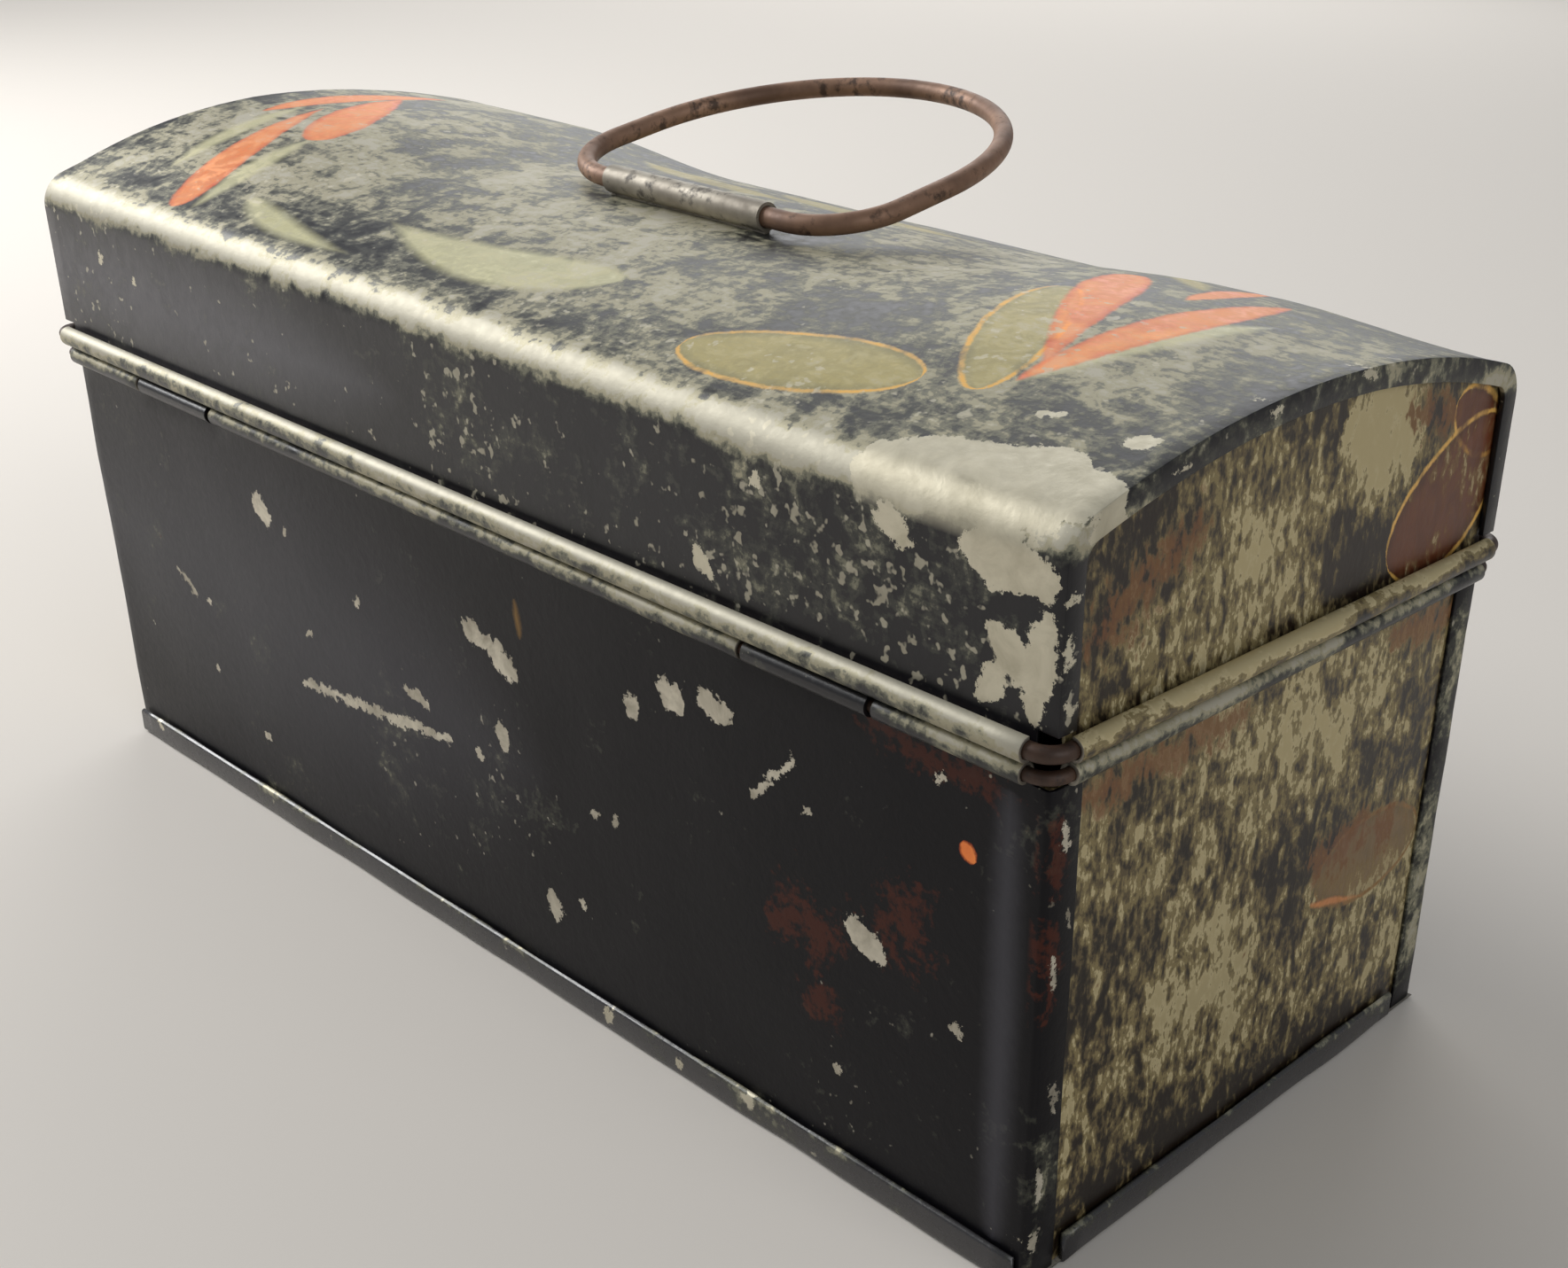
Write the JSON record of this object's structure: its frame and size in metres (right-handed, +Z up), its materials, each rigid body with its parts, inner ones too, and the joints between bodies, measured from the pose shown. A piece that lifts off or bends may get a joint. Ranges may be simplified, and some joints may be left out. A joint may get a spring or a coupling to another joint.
{
  "type": "dome-top tin box",
  "caption": "Hand-made tinplate box with a domed hinged lid, wired rims, black japan paint, a wire ring handle in a rolled tube and a tin hasp over a wire staple.",
  "frame": {"origin": "floor level under the middle of the body", "axes": "+Z up, X along the length, hinges at +Y, hasp at -Y"},
  "size_m": [0.2354, 0.1162, 0.1263],
  "materials": {
    "body_japan": "black japan on tinplate, satin, chipped at edges",
    "lid_japan": "black japan with brush-stroke ornament, rubbed to bare tin",
    "end_patina": "japan rubbed to an olive-brown patina",
    "bare_tin": "dull bare tinplate",
    "rim_wire": "dull iron wire",
    "ring_wire": "rust-brown iron wire"
  },
  "bodies": {
    "body": {"body_rear_panel": "body_japan", "body_front_panel": "body_japan", "body_left_end": "end_patina", "body_right_end": "end_patina", "body_bottom": "body_japan", "body_rim_wire": "rim_wire", "hasp_staple": "rim_wire"},
    "lid": {"lid_top": "lid_japan", "lid_left_end": "end_patina", "lid_right_end": "end_patina", "lid_rim_wire": "rim_wire", "hinge_strap_left": "bare_tin", "hinge_strap_right": "bare_tin", "handle_strap": "bare_tin"},
    "handle": {"handle_ring": "ring_wire"},
    "hasp": {"hasp": "body_japan"}
  },
  "joints": [
    {"name": "lid_hinge", "type": "hinge", "parent": "body", "child": "lid", "pos_m": [0, 0.04895, 0.075], "axis": [-1, 0, 0], "range_deg": [0, 150]},
    {"name": "handle_swing", "type": "hinge", "parent": "lid", "child": "handle", "pos_m": [0.002, 0, 0.11409], "axis": [-1, 0, 0], "range_deg": [-14.5, 172.5]},
    {"name": "hasp_swing", "type": "hinge", "parent": "lid", "child": "hasp", "pos_m": [0, -0.0496, 0.07844], "axis": [-1, 0, 0], "range_deg": [-23.9, 120]}
  ]
}
